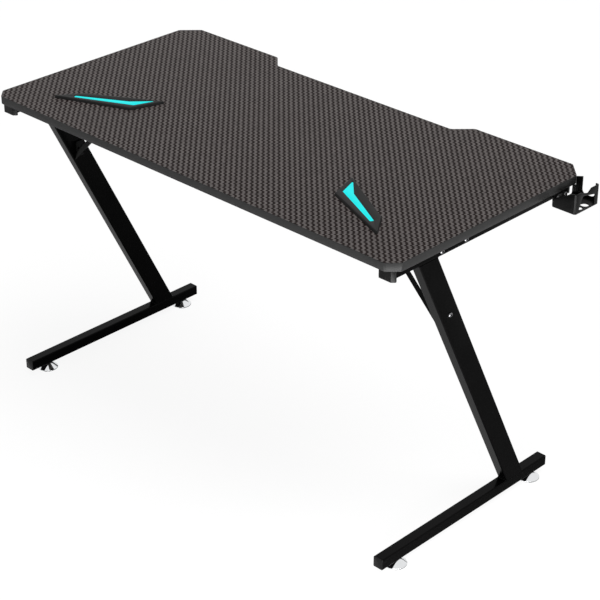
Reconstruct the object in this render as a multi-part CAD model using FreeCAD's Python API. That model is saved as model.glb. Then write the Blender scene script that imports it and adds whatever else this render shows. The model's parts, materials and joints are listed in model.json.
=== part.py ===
import FreeCAD, Part
import math
import os

# A gaming desk: a notched desktop with two light inserts, on two Z-shaped tube frames with
# levelling feet, and a cup holder at the right edge. Millimetres. X runs along the desk, the
# user sits on the -Y side, Z is up from the floor. Everything is built about the middle of the
# desktop, and moved along X at the end so that the origin is under the middle of the whole desk.

# Overall sizes
desk_width = 1200.0
desk_depth = 600.0
desk_height = 730.0

# Desktop
top_thickness = 18.0
laminate_thickness = 0.6
band_thickness = 1.0
front_chamfer = 23.0
rear_chamfer = 39.0
corner_round = 9.0
notch_width = 600.0
notch_depth = 37.5
notch_round = 12.0

# Steel tubes
tube_size = 25.0
tube_wall = 1.5
tube_round = 2.5
leg_depth = 50.0
frame_inset = 19.0
top_rail_front_gap = 11.0
top_rail_rear_gap = 34.0
foot_rail_front_gap = 12.0
foot_rail_rear_gap = 46.0
leg_top_y = -176.0
leg_foot_y = 143.0

# End caps
cap_flange = 2.0
cap_plug_length = 8.0
cap_wall = 2.0
cap_clearance = 0.2
top_cap_flange = 10.0
top_cap_front_overhang = 9.0
top_cap_rear_overhang = 5.0
top_cap_lip = 0.5
top_cap_chamfer = 6.5

# Stretcher and its bolting plates
stretcher_y = -103.0
stretcher_width = 50.0
plate_thickness = 4.0
plate_length = 96.0
plate_bolt_spacing = 72.0
plate_bolt_drop = 15.0

# Braces
brace_thickness = 3.0
brace_strip = 12.0
brace_arm = 9.0
brace_flange = 22.0
brace_drop = 167.0
brace_tab = 47.0
brace_foot_length = 36.0
brace_bolt_height = 24.0

# Fasteners
bolt_radius = 3.0
bolt_head_radius = 5.25
bolt_head_height = 3.6
bolt_head_edge = 1.2
hex_socket_width = 4.0
hex_socket_depth = 2.2
nut_width = 10.0
nut_height = 5.0
bolt_tail = 2.0
rivet_nut_radius = 4.5
rivet_nut_flange_radius = 6.0
rivet_nut_flange = 1.0
rivet_nut_length = 11.0
hole_clearance = 0.3
thread_clearance = 0.05
wood_screw_radius = 2.1
wood_screw_head_radius = 4.5
wood_screw_head_height = 2.6
wood_screw_bite = 12.0
screws_per_rail = 4
rail_screw_end_gap = 45.0
stretcher_screw_x = 150.0

# Levelling feet
foot_height = 16.5
foot_front_gap = 54.5
foot_rear_gap = 44.5
cone_base_radius = 25.0
cone_top_radius = 8.0
cone_lip = 2.0
cone_floor_gap = 0.8
pad_radius = 22.0
pad_thickness = 3.0
pad_boss_radius = 4.0
pad_boss_height = 3.0
pad_clearance = 0.3
stud_radius = 4.0
stud_seat = 9.0
stud_reach = 19.0
stud_tip_chamfer = 0.8
weld_nut_width = 13.0
weld_nut_height = 6.5

# Light inserts, drawn for the right-hand one from its tip nearest the front right corner
light_side_gap = 118.0
light_front_gap = 83.0
light_depth = 11.0
light_clearance = 0.4
bezel_rise = 5.5
bezel_draft = 2.0
bezel_round = 1.0
bezel_wall = 2.5
bezel_skirt = 6.0
bezel_roof = 3.0
diffuser_flange = 1.5
diffuser_recess = 0.6
diffuser_round = 1.5
diffuser_tip_round = 3.5
tray_floor = 1.5
circuit_thickness = 1.6
chip_length = 3.6
chip_width = 2.8
chip_height = 1.4
chip_spacing = 16.0
inlet_length = 18.0
inlet_width = 10.0
inlet_mouth_length = 8.9
inlet_mouth_width = 3.2
inlet_mouth_depth = 6.0
inlet_mouth_round = 1.5
inlet_tongue_length = 6.2
inlet_tongue_width = 0.8
light_screw_radius = 1.5
light_screw_head_radius = 3.0
light_screw_head_height = 1.8
light_screw_bite = 5.0
bezel_tip = (4.0, -4.0)
bezel_outer = (-35.0, 51.0)
bezel_inner = (-198.0, 144.0)
bezel_elbow = (-172.0, 67.0)
diffuser_tip_front = (-35.0, 20.1)
diffuser_tip_rear = (-32.2, 27.9)
diffuser_crook = (-143.0, 90.0)
diffuser_end = (-184.0, 132.0)
diffuser_elbow = (-166.0, 82.0)
inlet_place = (-87.0, 57.0)
light_screw_places = ((-20.0, 18.0), (-107.0, 84.0))

# Cup holder
cup_length = 77.0
cup_width = 62.0
cup_rear_gap = 38.0
cup_rail_gap = 13.0
cup_wall = 2.5
cup_floor = 3.0
cup_drop = 27.0
cup_rise = 6.0
cup_corner = 5.0
cup_rear_corner = 2.0
cup_front_corner = 3.5
cup_desk_gap = 2.0
cup_edge_gap = 0.4
cup_rim_rise = 3.0
cup_slope_start = 11.0
cup_dip_start = 4.0
cup_dip_width = 36.0
cup_dip_depth = 12.0
cup_dip_round = 6.0
cup_horn_length = 14.0
cup_horn_drop = 1.0
cup_post_drop = 3.0
cup_post_rise = 4.0
cup_window_front = 9.5
cup_window_lean = 14.0
cup_window_rear = 12.0
cup_window_band = 1.5
cup_window_fall = 8.5
cup_window_round = 4.0
cup_slot_start = 22.0
cup_slot_width = 32.0
cup_slot_foot = 11.0
cup_slot_round = 10.0
cup_notch_length = 18.0
cup_notch_end = 6.0
cup_notch_foot = 5.0
cup_notch_round = 4.0
cup_drain_radius = 8.5
cup_drain_spacing_x = 36.0
cup_drain_spacing_y = 21.0
cup_boss_radius = 5.5
cup_screw_radius = 2.0
cup_screw_head_radius = 4.0
cup_screw_head_height = 2.4
cup_screw_start = 19.0
cup_screw_spacing = 26.0
cup_screw_bite = 5.0
cup_screw_drop = 13.0

# Heights and places that follow from the sizes
board_top = desk_height - laminate_thickness
board_bottom = desk_height - top_thickness
rail_bottom = board_bottom - tube_size
foot_rail_bottom = foot_height
foot_rail_top = foot_height + tube_size
rail_outer_x = desk_width / 2 - frame_inset
rail_x = rail_outer_x - tube_size / 2
rail_inner_x = rail_outer_x - tube_size
top_rail_front = -desk_depth / 2 + top_rail_front_gap
top_rail_rear = desk_depth / 2 - top_rail_rear_gap
foot_rail_front = -desk_depth / 2 + foot_rail_front_gap
foot_rail_rear = desk_depth / 2 - foot_rail_rear_gap
leg_lean = math.atan2(leg_foot_y - leg_top_y, rail_bottom - foot_rail_top)
leg_middle_z = (rail_bottom + foot_rail_top) / 2
leg_middle_y = (leg_top_y + leg_foot_y) / 2
plate_bolt_z = board_bottom - plate_bolt_drop
stretcher_end_x = rail_inner_x - plate_thickness
stretcher_bottom = board_bottom - tube_size
cup_inner_x = rail_outer_x + cup_rail_gap
cup_outer_x = cup_inner_x + cup_width
cup_rear_y = desk_depth / 2 - cup_rear_gap
cup_front_y = cup_rear_y - cup_length
cup_y = (cup_front_y + cup_rear_y) / 2
cup_bottom = board_bottom - cup_drop
cup_top = desk_height + cup_rise
cup_screw_z = board_bottom - cup_screw_drop
desk_shift = (desk_width / 2 - cup_outer_x) / 2
light_origin = (desk_width / 2 - light_side_gap, -desk_depth / 2 + light_front_gap)
light_floor = desk_height - light_depth
tray_rim = desk_height - bezel_skirt
bezel_top = desk_height + bezel_rise
tray_deck = light_floor + tray_floor
circuit_top = tray_deck + circuit_thickness
past = 1.0

X_AXIS = FreeCAD.Vector(1, 0, 0)
Y_AXIS = FreeCAD.Vector(0, 1, 0)
Z_AXIS = FreeCAD.Vector(0, 0, 1)
ORIGIN = FreeCAD.Vector(0, 0, 0)


def corner_frame(outline, index):
    """Corner point, unit directions to its two neighbours, and whether it is convex."""
    x, y, radius = outline[index]
    here = FreeCAD.Vector(x, y, 0)
    before = FreeCAD.Vector(outline[index - 1][0], outline[index - 1][1], 0)
    after_corner = outline[(index + 1) % len(outline)]
    after = FreeCAD.Vector(after_corner[0], after_corner[1], 0)
    back = (before - here).normalize()
    ahead = (after - here).normalize()
    convex = back.cross(ahead).z < 0
    return here, back, ahead, convex, radius


def inset(outline, distance):
    """The same outline drawn in by a distance, or out where the distance is negative."""
    drawn_in = []
    for index in range(len(outline)):
        here, back, ahead, convex, radius = corner_frame(outline, index)
        half_angle = back.getAngle(ahead) / 2
        bisector = (back + ahead).normalize()
        side = 1.0 if convex else -1.0
        point = here + bisector * (side * distance / math.sin(half_angle))
        drawn_in.append((point.x, point.y, max(radius - side * distance, 0.0)))
    return drawn_in


def outline_wire(outline, z):
    """Closed wire of straight edges and corner arcs. Corners are (x, y, radius), anticlockwise."""
    starts = []
    ends = []
    middles = []
    for index in range(len(outline)):
        here, back, ahead, convex, radius = corner_frame(outline, index)
        half_angle = back.getAngle(ahead) / 2
        reach = radius / math.tan(half_angle)
        bisector = (back + ahead).normalize()
        starts.append(here + back * reach)
        ends.append(here + ahead * reach)
        middles.append(here + bisector * (radius / math.sin(half_angle) - radius))
    edges = []
    lift = FreeCAD.Vector(0, 0, z)
    for index in range(len(outline)):
        following = (index + 1) % len(outline)
        if outline[index][2] > 0:
            arc = Part.Arc(starts[index] + lift, middles[index] + lift, ends[index] + lift)
            edges.append(arc.toShape())
        edges.append(Part.LineSegment(ends[index] + lift, starts[following] + lift).toShape())
    return Part.Wire(edges)


def slab(outline, low, high):
    """Solid of an outline between two heights."""
    face = Part.Face(outline_wire(outline, low))
    return face.extrude(FreeCAD.Vector(0, 0, high - low))


def tapered(low_outline, low, high_outline, high):
    """Solid between an outline and a like outline above it."""
    return Part.makeLoft([outline_wire(low_outline, low), outline_wire(high_outline, high)], True, True)


def rectangle(length, width, radius, x=0.0, y=0.0):
    """Outline of a rectangle about a point, with rounded corners."""
    half_length = length / 2
    half_width = width / 2
    return [(x - half_length, y - half_width, radius), (x + half_length, y - half_width, radius),
            (x + half_length, y + half_width, radius), (x - half_length, y + half_width, radius)]


def block(x_low, x_high, y_low, y_high, z_low, z_high):
    """Box between two corners."""
    corner = FreeCAD.Vector(x_low, y_low, z_low)
    return Part.makeBox(x_high - x_low, y_high - y_low, z_high - z_low, corner)


def rod(radius, start, direction, length):
    """Round bar from a point along a direction."""
    return Part.makeCylinder(radius, length, start, direction)


def hexagon(width, start, direction, length):
    """Six-sided bar of a width across flats, along X or Z."""
    points = []
    for step in range(7):
        angle = math.radians(60 * step)
        reach = width / 2 / math.cos(math.radians(30))
        points.append(FreeCAD.Vector(reach * math.cos(angle), reach * math.sin(angle), 0))
    bar = Part.Face(Part.makePolygon(points)).extrude(Z_AXIS * length)
    bar.Placement = FreeCAD.Placement(start, FreeCAD.Rotation(Z_AXIS, direction))
    return bar


def mirrored(shape):
    """Left-hand copy of a right-hand piece."""
    return shape.mirror(ORIGIN, X_AXIS)


def save(name, shape):
    """Write one piece, in its place under the middle of the whole desk."""
    placed = shape.copy()
    placed.translate(X_AXIS * desk_shift)
    placed.exportStep("parts/" + name + ".step")


def save_pair(name, shape):
    """Write a right-hand piece and its mirrored twin."""
    save(name + "_right", shape)
    save(name + "_left", mirrored(shape))


def save_both_sides(name, shapes):
    """Write the right-hand pieces of a kind and their twins as one group."""
    save(name, Part.makeCompound(shapes + [mirrored(shape) for shape in shapes]))


def desktop_outline():
    """Plan of the desktop: chamfered corners, and a notch in the rear edge."""
    half_width = desk_width / 2
    half_depth = desk_depth / 2
    half_notch = notch_width / 2
    right = [(half_width - front_chamfer, -half_depth, corner_round),
             (half_width, -half_depth + front_chamfer, corner_round),
             (half_width, half_depth - rear_chamfer, corner_round),
             (half_width - rear_chamfer, half_depth, corner_round),
             (half_notch, half_depth, notch_round),
             (half_notch - notch_depth, half_depth - notch_depth, notch_round)]
    left = [(-x, y, radius) for x, y, radius in reversed(right)]
    return right + left


def light_outline(points, radius):
    """Corners of a piece of the right-hand light insert, from its points in order."""
    return [(light_origin[0] + x, light_origin[1] + y, radius) for x, y in points]


def bezel_outline():
    """Plan of the bezel's top face."""
    return light_outline((bezel_tip, bezel_outer, bezel_inner, bezel_elbow), bezel_round)


def diffuser_outline():
    """Plan of the lit lens."""
    tip = light_outline((diffuser_tip_front, diffuser_tip_rear), diffuser_tip_round)
    return tip + light_outline((diffuser_crook, diffuser_end, diffuser_elbow), diffuser_round)


def pocket_outline():
    """Plan of the pocket in the desktop, a little wider than the bezel's base."""
    return inset(bezel_outline(), -(bezel_draft + light_clearance))


def inlet_plan(clearance):
    """Plan of the power inlet, or of the hole that it sits in."""
    middle = light_point(inlet_place, board_bottom)
    return rectangle(inlet_length + 2 * clearance, inlet_width + 2 * clearance, 0.0, middle.x, middle.y)


def light_point(place, z):
    """Point of the right-hand light insert at a height."""
    return FreeCAD.Vector(light_origin[0] + place[0], light_origin[1] + place[1], z)


def light_screw_points():
    """Where the heads of the right-hand light tray's screws sit."""
    return [light_point(place, tray_deck) for place in light_screw_places]


def rail_screw_points():
    """Where the wood screws pass up through the right-hand top rail."""
    first = top_rail_front + rail_screw_end_gap
    step = (top_rail_rear - rail_screw_end_gap - first) / (screws_per_rail - 1)
    return [FreeCAD.Vector(rail_x, first + step * count, rail_bottom) for count in range(screws_per_rail)]


def stretcher_screw_point():
    """Where the right-hand wood screw passes up through the stretcher."""
    return FreeCAD.Vector(stretcher_screw_x, stretcher_y, stretcher_bottom)


def plate_bolt_points():
    """Where the stretcher's bolts enter the outer face of the right-hand top rail."""
    half = plate_bolt_spacing / 2
    return [FreeCAD.Vector(rail_outer_x, stretcher_y + side * half, plate_bolt_z) for side in (-1, 1)]


def cup_screw_points():
    """Where the cup holder's screws meet the outer face of the right-hand top rail."""
    first = cup_front_y + cup_screw_start
    rows = (first, first + cup_screw_spacing)
    return [FreeCAD.Vector(rail_outer_x, y, cup_screw_z) for y in rows]


def leg_y(z):
    """Middle of the leg at a height."""
    return leg_middle_y + (leg_middle_z - z) * math.tan(leg_lean)


def brace_bottom():
    """Height of the brace's lower end."""
    return stretcher_bottom - brace_drop


def brace_bolt_z():
    """Height of the bolt that holds the brace to the leg."""
    return brace_bottom() + brace_bolt_height


def brace_y():
    """Where the brace's bolts stand along the depth, in the middle of the leg."""
    return leg_y(brace_bolt_z())


def brace_top_x():
    """Middle of the brace's top flange, under the stretcher."""
    below_x, under_x, end_x = brace_folds()
    return (below_x + end_x) / 2


def rail_tube(front, rear, low):
    """Square tube of the right-hand frame, along Y, open at both ends."""
    tube = slab(rectangle(tube_size, tube_size, tube_round), 0, rear - front)
    hollow_size = tube_size - 2 * tube_wall
    hollow = slab(rectangle(hollow_size, hollow_size, tube_round - tube_wall), 0, rear - front)
    pipe = tube.cut(hollow)
    pipe.rotate(ORIGIN, X_AXIS, -90)
    pipe.translate(FreeCAD.Vector(rail_x, front, low + tube_size / 2))
    return pipe


def cross_hole(point, radius):
    """Drill along X through the right-hand frame from its outer face."""
    start = point + X_AXIS * past
    return rod(radius, start, -X_AXIS, tube_size + plate_thickness + 2 * past)


def build_desktop():
    """The board, its printed laminate and its edge band."""
    outline = desktop_outline()
    core = inset(outline, band_thickness)
    pocket = slab(pocket_outline(), light_floor, desk_height + past)
    pockets = [pocket, mirrored(pocket)]
    board = slab(core, board_bottom, board_top)
    drills = []
    for point in rail_screw_points() + [stretcher_screw_point()]:
        hole = rod(wood_screw_radius + thread_clearance, point, Z_AXIS, tube_size + wood_screw_bite)
        drills += [hole, mirrored(hole)]
    for point in light_screw_points():
        hole_length = tray_floor + light_screw_bite
        hole = rod(light_screw_radius + thread_clearance, point, -Z_AXIS, hole_length)
        drills += [hole, mirrored(hole)]
    inlet_hole = slab(inlet_plan(hole_clearance), board_bottom - past, light_floor + past)
    drills += [inlet_hole, mirrored(inlet_hole)]
    save("desktop_board", board.cut(pockets + drills))
    save("top_laminate", slab(core, board_top, desk_height).cut(pockets))
    band = slab(outline, board_bottom, desk_height).cut(slab(core, board_bottom, desk_height))
    save("edge_band", band)


def build_light_inserts():
    """Bezels, lenses, trays, circuits, chips, inlets and screws of both light inserts."""
    top_plan = bezel_outline()
    base_plan = inset(top_plan, -bezel_draft)
    cavity_plan = inset(top_plan, bezel_wall)
    lens_plan = diffuser_outline()
    flange_plan = inset(lens_plan, -diffuser_flange)
    roof_bottom = bezel_top - bezel_roof

    skirt = slab(base_plan, tray_rim, desk_height)
    bezel = skirt.fuse(tapered(base_plan, desk_height, top_plan, bezel_top))
    bezel = bezel.removeSplitter().cut(slab(cavity_plan, tray_rim - past, roof_bottom))
    window_plan = inset(lens_plan, -light_clearance / 2)
    bezel = bezel.cut(slab(window_plan, roof_bottom - past, bezel_top + past))
    save_pair("light_bezel", bezel)

    lens = slab(lens_plan, roof_bottom, bezel_top - diffuser_recess)
    flange = slab(flange_plan, roof_bottom - diffuser_flange, roof_bottom)
    save_pair("light_diffuser", lens.fuse(flange).removeSplitter())

    tray = slab(base_plan, light_floor, tray_rim).cut(slab(cavity_plan, tray_deck, tray_rim + past))
    tray = tray.cut(slab(inlet_plan(hole_clearance), light_floor - past, tray_deck + past))
    for point in light_screw_points():
        tray = tray.cut(rod(light_screw_radius + hole_clearance, point, -Z_AXIS, tray_floor + past))
    save_pair("light_tray", tray)

    save_pair("light_circuit", slab(flange_plan, tray_deck, circuit_top))

    chips = []
    bend = [(start + end) / 2 for start, end in zip(diffuser_elbow, diffuser_crook)]
    for tip in (diffuser_tip_rear, diffuser_end):
        arm = FreeCAD.Vector(tip[0] - bend[0], tip[1] - bend[1], 0)
        count = int(arm.Length // chip_spacing)
        turn = math.degrees(math.atan2(arm.y, arm.x))
        for step in range(1, count):
            chip = slab(rectangle(chip_length, chip_width, 0.0), 0, chip_height)
            chip.rotate(ORIGIN, Z_AXIS, turn)
            along = FreeCAD.Vector(arm).normalize() * (chip_spacing * step)
            chip.translate(light_point(bend, circuit_top) + along)
            chips.append(chip)
    save_pair("light_chips", Part.makeCompound(chips))

    inlet = slab(inlet_plan(0.0), board_bottom, tray_deck)
    middle = light_point(inlet_place, board_bottom)
    mouth = rectangle(inlet_mouth_length, inlet_mouth_width, inlet_mouth_round, middle.x, middle.y)
    tongue = rectangle(inlet_tongue_length, inlet_tongue_width, 0.0, middle.x, middle.y)
    socket = slab(mouth, board_bottom - past, board_bottom + inlet_mouth_depth)
    socket = socket.cut(slab(tongue, board_bottom + past, board_bottom + inlet_mouth_depth))
    save_pair("light_inlet", inlet.cut(socket))

    screws = []
    for point in light_screw_points():
        head = rod(light_screw_head_radius, point, Z_AXIS, light_screw_head_height)
        screws.append(head.fuse(rod(light_screw_radius, point, -Z_AXIS, tray_floor + light_screw_bite)))
    save_both_sides("light_screws", screws)


def build_rails():
    """The tubes along the top and the foot of each side frame."""
    top_rail = rail_tube(top_rail_front + top_cap_flange, top_rail_rear - top_cap_flange, rail_bottom)
    for point in rail_screw_points():
        top_rail = top_rail.cut(rod(wood_screw_radius + hole_clearance, point - Z_AXIS * past, Z_AXIS,
                                    tube_size + 2 * past))
    for point in plate_bolt_points():
        top_rail = top_rail.cut(cross_hole(point, bolt_radius + hole_clearance))
    save("top_rail_left", mirrored(top_rail))
    for point in cup_screw_points():
        pilot = rod(cup_screw_radius + thread_clearance, point + X_AXIS * past, -X_AXIS,
                    tube_wall + 2 * past)
        top_rail = top_rail.cut(pilot)
    save("top_rail_right", top_rail)

    foot_rail = rail_tube(foot_rail_front + cap_flange, foot_rail_rear - cap_flange, foot_rail_bottom)
    for y in foot_places():
        start = FreeCAD.Vector(rail_x, y, foot_rail_bottom - past)
        foot_rail = foot_rail.cut(rod(stud_radius + hole_clearance, start, Z_AXIS, tube_wall + 2 * past))
    save_pair("foot_rail", foot_rail)


def build_legs():
    """The slanting tubes between the rails."""
    section = rectangle(tube_size, leg_depth, tube_round)
    hollow = rectangle(tube_size - 2 * tube_wall, leg_depth - 2 * tube_wall, tube_round - tube_wall)
    reach = (rail_bottom - foot_rail_top) / math.cos(leg_lean) + 2 * leg_depth
    leg = slab(section, -reach / 2, reach / 2).cut(slab(hollow, -reach / 2, reach / 2))
    leg.rotate(ORIGIN, X_AXIS, math.degrees(leg_lean))
    leg.translate(FreeCAD.Vector(rail_x, leg_middle_y, leg_middle_z))
    between = block(rail_inner_x - past, rail_outer_x + past, -desk_depth, desk_depth,
                    foot_rail_top, rail_bottom)
    leg = leg.common(between)
    leg = leg.cut(cross_hole(brace_bolt_start(), bolt_radius + hole_clearance))
    save_pair("leg", leg)


def brace_bolt_start():
    """Where the brace's bolt enters the outer face of the right-hand leg."""
    return FreeCAD.Vector(rail_outer_x, brace_y(), brace_bolt_z())


def end_plug(length):
    """Hollow plug of an end cap, pointing along +Y from the origin."""
    size = tube_size - 2 * tube_wall - 2 * cap_clearance
    corner = max(tube_round - tube_wall - cap_clearance, 0.0)
    plug = slab(rectangle(size, size, corner), 0, length)
    hollow = slab(rectangle(size - 2 * cap_wall, size - 2 * cap_wall, 0.0), 0, length)
    plug = plug.cut(hollow)
    plug.rotate(ORIGIN, X_AXIS, -90)
    return plug


def top_cap(overhang):
    """Wide cut-cornered plug for the end of a top rail, drawn for its front end."""
    wide = tube_size / 2 + overhang
    chamfer = top_cap_chamfer
    points = [(-wide + chamfer, 0, 0), (wide - chamfer, 0, 0), (wide, chamfer, 0),
              (wide, top_cap_flange, 0), (-wide, top_cap_flange, 0), (-wide, chamfer, 0)]
    plate = slab(points, -tube_size / 2 - top_cap_lip, tube_size / 2)
    plug = end_plug(cap_plug_length)
    plug.translate(Y_AXIS * top_cap_flange)
    return plate.fuse(plug)


def foot_cap():
    """Plain plug for the end of a foot rail, drawn for its front end."""
    flange = slab(rectangle(tube_size, tube_size, tube_round), 0, cap_flange)
    flange.rotate(ORIGIN, X_AXIS, -90)
    plug = end_plug(cap_plug_length)
    plug.translate(Y_AXIS * cap_flange)
    return flange.fuse(plug)


def build_caps():
    """The plugs in the ends of the rails."""
    rails = (("top_rail_cap", top_cap(top_cap_front_overhang), top_cap(top_cap_rear_overhang),
              top_rail_front, top_rail_rear, rail_bottom),
             ("foot_rail_cap", foot_cap(), foot_cap(), foot_rail_front, foot_rail_rear, foot_rail_bottom))
    for name, front_cap, rear_cap, front, rear, low in rails:
        middle = FreeCAD.Vector(rail_x, 0, low + tube_size / 2)
        front_cap.translate(middle + Y_AXIS * front)
        save_pair(name + "_front", front_cap)
        rear_cap.rotate(ORIGIN, Z_AXIS, 180)
        rear_cap.translate(middle + Y_AXIS * rear)
        save_pair(name + "_rear", rear_cap)


def build_stretcher():
    """The cross tube under the desktop and the plates at its ends."""
    length = 2 * stretcher_end_x
    tube = slab(rectangle(tube_size, stretcher_width, tube_round), 0, length)
    hollow = rectangle(tube_size - 2 * tube_wall, stretcher_width - 2 * tube_wall, tube_round - tube_wall)
    tube = tube.cut(slab(hollow, 0, length))
    tube.rotate(ORIGIN, Y_AXIS, 90)
    tube.translate(FreeCAD.Vector(-stretcher_end_x, stretcher_y, board_bottom - tube_size / 2))
    point = stretcher_screw_point() - Z_AXIS * past
    screw_hole = rod(wood_screw_radius + hole_clearance, point, Z_AXIS, tube_size + 2 * past)
    start = FreeCAD.Vector(brace_top_x(), brace_y(), stretcher_bottom - past)
    nut_hole = rod(rivet_nut_radius + thread_clearance, start, Z_AXIS, tube_wall + 2 * past)
    tube = tube.cut([screw_hole, mirrored(screw_hole), nut_hole, mirrored(nut_hole)])
    save("stretcher", tube)

    half = plate_length / 2
    plate = block(stretcher_end_x, rail_inner_x, stretcher_y - half, stretcher_y + half,
                  stretcher_bottom, board_bottom)
    for bolt in plate_bolt_points():
        plate = plate.cut(cross_hole(bolt, bolt_radius + hole_clearance))
    save_pair("stretcher_plate", plate)


def button_bolt(point, direction, length):
    """Button-head bolt whose head sits at a point, and whose shank runs along a direction."""
    shank = rod(bolt_radius, point, direction, length)
    head = rod(bolt_head_radius, point, -direction, bolt_head_height)
    edges = [edge for edge in head.Edges if edge.Closed and head_face_edge(edge, point, direction)]
    head = head.makeChamfer(bolt_head_edge, edges)
    socket_start = point - direction * (bolt_head_height - hex_socket_depth)
    socket = hexagon(hex_socket_width, socket_start, -direction, hex_socket_depth + past)
    return head.cut(socket).fuse(shank)


def head_face_edge(edge, point, direction):
    """Whether a round edge is the outer one of a bolt head."""
    return (edge.CenterOfMass - point).dot(direction) < -bolt_head_height / 2


def hex_nut(point, direction):
    """Nut from a point along a direction."""
    nut = hexagon(nut_width, point, direction, nut_height)
    start = point - direction * past
    return nut.cut(rod(bolt_radius + thread_clearance, start, direction, nut_height + 2 * past))


def build_frame_bolts():
    """The bolts and nuts of the stretcher and the braces."""
    length = tube_size + plate_thickness + nut_height + bolt_tail
    bolts = [button_bolt(point, -X_AXIS, length) for point in plate_bolt_points()]
    save_both_sides("stretcher_bolts", bolts)
    grip = tube_size + plate_thickness
    nuts = [hex_nut(point - X_AXIS * grip, -X_AXIS) for point in plate_bolt_points()]
    save_both_sides("stretcher_nuts", nuts)

    length = tube_size + brace_thickness + nut_height + bolt_tail
    save_both_sides("brace_leg_bolts", [button_bolt(brace_bolt_start(), -X_AXIS, length)])
    nut_start = brace_bolt_start() - X_AXIS * (tube_size + brace_thickness)
    save_both_sides("brace_leg_nuts", [hex_nut(nut_start, -X_AXIS)])

    under = FreeCAD.Vector(brace_top_x(), brace_y(), stretcher_bottom - brace_thickness)
    length = brace_thickness + tube_wall + rivet_nut_length
    save_both_sides("brace_top_bolts", [button_bolt(under, Z_AXIS, length)])
    seat = FreeCAD.Vector(brace_top_x(), brace_y(), stretcher_bottom)
    barrel = rod(rivet_nut_radius, seat, Z_AXIS, tube_wall)
    bulge = rod(rivet_nut_flange_radius, seat + Z_AXIS * tube_wall, Z_AXIS, rivet_nut_flange)
    neck = rod(rivet_nut_radius, seat + Z_AXIS * tube_wall, Z_AXIS, rivet_nut_length)
    bore = rod(bolt_radius + thread_clearance, seat - Z_AXIS * past, Z_AXIS,
               tube_wall + rivet_nut_length + 2 * past)
    save_both_sides("brace_rivet_nuts", [barrel.fuse([bulge, neck]).cut(bore)])


def brace_folds():
    """Along X: the ends of the brace's top arm below and under the stretcher, and its free end."""
    corner = rail_inner_x + brace_bottom()
    below = corner - (stretcher_bottom - brace_arm)
    under = corner + brace_strip * math.sqrt(2) - stretcher_bottom
    return below, under, below - brace_foot_length


def build_braces():
    """The corner braces: an upright plate with a flange on the leg and one on the stretcher."""
    low = brace_bottom()
    below_x, under_x, end_x = brace_folds()
    arm_x = rail_inner_x - brace_arm
    arm_bottom = stretcher_bottom - brace_arm
    points = [(rail_inner_x, low + brace_tab), (rail_inner_x, low), (below_x, arm_bottom),
              (end_x, arm_bottom), (end_x, stretcher_bottom), (under_x, stretcher_bottom),
              (arm_x, low + brace_strip * math.sqrt(2) + brace_arm), (arm_x, low + brace_tab)]
    rear = brace_y() + brace_flange / 2
    front = rear - brace_flange - brace_thickness
    corners = [FreeCAD.Vector(x, front, z) for x, z in points]
    web = Part.Face(Part.makePolygon(corners + corners[:1])).extrude(Y_AXIS * brace_thickness)
    tab = block(rail_inner_x - brace_thickness, rail_inner_x, front, rear, low + brace_arm, low + brace_tab)
    foot = block(end_x, under_x, front, rear, stretcher_bottom - brace_thickness, stretcher_bottom)
    brace = web.fuse([tab, foot]).removeSplitter()
    brace = brace.cut(cross_hole(brace_bolt_start(), bolt_radius + hole_clearance))
    drill = FreeCAD.Vector(brace_top_x(), brace_y(), stretcher_bottom - brace_thickness - past)
    brace = brace.cut(rod(bolt_radius + hole_clearance, drill, Z_AXIS, brace_thickness + 2 * past))
    save_pair("brace", brace)


def build_desktop_screws():
    """The wood screws that hold the desktop down."""
    screws = []
    for point in rail_screw_points() + [stretcher_screw_point()]:
        head = rod(wood_screw_head_radius, point, -Z_AXIS, wood_screw_head_height)
        shank = rod(wood_screw_radius, point, Z_AXIS, tube_size + wood_screw_bite)
        screws.append(head.fuse(shank))
    save_both_sides("desktop_screws", screws)


def foot_places():
    """Where the levelling feet stand along each foot rail."""
    return (foot_rail_front + foot_front_gap, foot_rail_rear - foot_rear_gap)


def turned(points):
    """Solid turned about Z from its half section of (radius, height) points."""
    corners = [FreeCAD.Vector(radius, 0, z) for radius, z in points]
    section = Part.Face(Part.makePolygon(corners + corners[:1]))
    return section.revolve(ORIGIN, Z_AXIS, 360)


def build_feet():
    """The levelling feet and the nuts that their studs run in."""
    pin_top = pad_thickness + pad_boss_height
    socket_top = pin_top + pad_clearance
    socket_radius = pad_boss_radius + thread_clearance
    recess_radius = pad_radius + pad_clearance
    bore_radius = stud_radius + thread_clearance
    cone = turned([(socket_radius, pad_thickness), (recess_radius, pad_thickness),
                   (recess_radius, cone_floor_gap), (cone_base_radius, cone_floor_gap),
                   (cone_base_radius, cone_floor_gap + cone_lip), (cone_top_radius, foot_height),
                   (bore_radius, foot_height), (bore_radius, stud_seat), (0, stud_seat),
                   (0, socket_top), (socket_radius, socket_top)])
    pad = turned([(0, 0), (pad_radius, 0), (pad_radius, pad_thickness), (pad_boss_radius, pad_thickness),
                  (pad_boss_radius, pin_top), (0, pin_top)])
    stud_top = foot_height + stud_reach
    stud = turned([(0, stud_seat), (stud_radius, stud_seat), (stud_radius, stud_top - stud_tip_chamfer),
                   (stud_radius - stud_tip_chamfer, stud_top), (0, stud_top)])
    pieces = (("foot_cone", cone), ("foot_pad", pad), ("foot_stud", stud))
    nuts = []
    for end, y in zip(("front", "rear"), foot_places()):
        for name, piece in pieces:
            placed = piece.copy()
            placed.translate(FreeCAD.Vector(rail_x, y, 0))
            save_pair(name + "_" + end, placed)
        seat = FreeCAD.Vector(rail_x, y, foot_rail_bottom + tube_wall)
        nut = hexagon(weld_nut_width, seat, Z_AXIS, weld_nut_height)
        bore = rod(bore_radius, seat - Z_AXIS * past, Z_AXIS, weld_nut_height + 2 * past)
        nuts.append(nut.cut(bore))
    save_both_sides("foot_nuts", nuts)


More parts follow.
